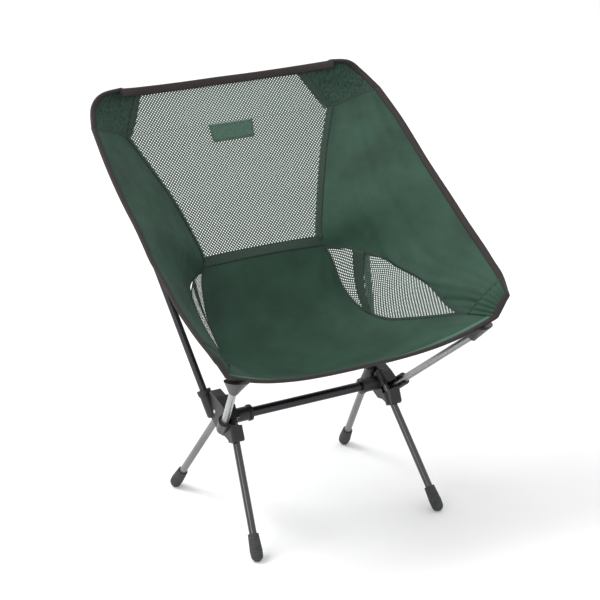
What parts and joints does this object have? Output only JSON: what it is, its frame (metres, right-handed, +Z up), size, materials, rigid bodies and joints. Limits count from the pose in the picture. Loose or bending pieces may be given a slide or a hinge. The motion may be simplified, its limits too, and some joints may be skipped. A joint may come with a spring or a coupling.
{
  "type": "backpacking chair",
  "caption": "Ultralight folding backpacking chair: plastic hubs on a cross bar hold splayed pole legs and uprights that stretch a low fabric bucket seat with a mesh back.",
  "frame": {"origin": "on the floor under the centre of the chair's outer box", "axes": "+Z up, the sitter faces -Y, +X is the sitter's left"},
  "size_m": [0.5518, 0.4935, 0.6692],
  "materials": {
    "foot_rubber": "matte ribbed",
    "rivet_steel": "satin",
    "hub_plastic": "satin moulded",
    "cap_plastic": "satin",
    "cord": "woven elastic",
    "bar_black": "glossy black anodised",
    "front_leg_tube": "glossy dark anodised",
    "rear_leg_tube": "grey anodised",
    "front_upright_tube": "bright grey anodised",
    "rear_upright_tube": "dark anodised",
    "mesh": "open net",
    "seam_tape": "heather tape",
    "binding": "ribbed binding tape",
    "corner_fabric": "heather weave",
    "label": "plain woven patch",
    "pocket_plastic": "satin moulded",
    "seat_fabric": "plain coated weave"
  },
  "bodies": {
    "chair": {"back_mesh": "mesh", "corner_binding_left": "binding", "corner_binding_right": "binding", "corner_patch_left": "corner_fabric", "corner_patch_right": "corner_fabric", "cross_bar": "bar_black", "edge_binding_front": "binding", "edge_binding_left": "binding", "edge_binding_right": "binding", "edge_binding_top": "binding", "front_corner_left": "seat_fabric", "front_corner_right": "seat_fabric", "front_pocket_left": "pocket_plastic", "front_pocket_right": "pocket_plastic", "front_pole_tip_left": "cap_plastic", "front_pole_tip_right": "cap_plastic", "front_shock_cord_left": "cord", "front_shock_cord_right": "cord", "front_upright_left": "front_upright_tube", "front_upright_right": "front_upright_tube", "hub_left": "hub_plastic", "hub_right": "hub_plastic", "hub_rivet_left": "rivet_steel", "hub_rivet_right": "rivet_steel", "label_patch": "label", "rear_pocket_left": "seat_fabric", "rear_pocket_right": "seat_fabric", "rear_pole_tip_left": "cap_plastic", "rear_pole_tip_right": "cap_plastic", "rear_shock_cord_left": "cord", "rear_shock_cord_right": "cord", "rear_spigot_left": "rear_upright_tube", "rear_spigot_right": "rear_upright_tube", "rear_upright_lower_left": "rear_upright_tube", "rear_upright_lower_right": "rear_upright_tube", "rear_upright_upper_left": "rear_upright_tube", "rear_upright_upper_right": "rear_upright_tube", "seam_tape_bottom": "seam_tape", "seam_tape_left": "seam_tape", "seam_tape_right": "seam_tape", "seat_panel": "seat_fabric", "side_mesh_left": "mesh", "side_mesh_right": "mesh", "side_panel_left": "seat_fabric", "side_panel_right": "seat_fabric", "side_strap_left": "seam_tape", "side_strap_right": "seam_tape"},
    "front_left_leg": {"front_leg_left": "front_leg_tube", "front_leg_plug_left": "cap_plastic", "front_foot_left": "foot_rubber"},
    "front_right_leg": {"front_leg_right": "front_leg_tube", "front_leg_plug_right": "cap_plastic", "front_foot_right": "foot_rubber"},
    "rear_left_leg": {"rear_leg_left": "rear_leg_tube", "rear_leg_plug_left": "cap_plastic", "rear_foot_left": "foot_rubber"},
    "rear_right_leg": {"rear_leg_right": "rear_leg_tube", "rear_leg_plug_right": "cap_plastic", "rear_foot_right": "foot_rubber"}
  },
  "joints": [
    {"name": "front_left_leg_pull", "type": "slide", "parent": "chair", "child": "front_left_leg", "axis": [0.1169, -0.5819, -0.8048], "range_m": [0, 0.035], "stiffness_N_per_m": 300, "springref_m": -0.02},
    {"name": "front_right_leg_pull", "type": "slide", "parent": "chair", "child": "front_right_leg", "axis": [-0.1169, -0.5819, -0.8048], "range_m": [0, 0.035], "stiffness_N_per_m": 300, "springref_m": -0.02},
    {"name": "rear_left_leg_pull", "type": "slide", "parent": "chair", "child": "rear_left_leg", "axis": [0.1339, 0.5656, -0.8138], "range_m": [0, 0.035], "stiffness_N_per_m": 300, "springref_m": -0.02},
    {"name": "rear_right_leg_pull", "type": "slide", "parent": "chair", "child": "rear_right_leg", "axis": [-0.1339, 0.5656, -0.8138], "range_m": [0, 0.035], "stiffness_N_per_m": 300, "springref_m": -0.02}
  ]
}
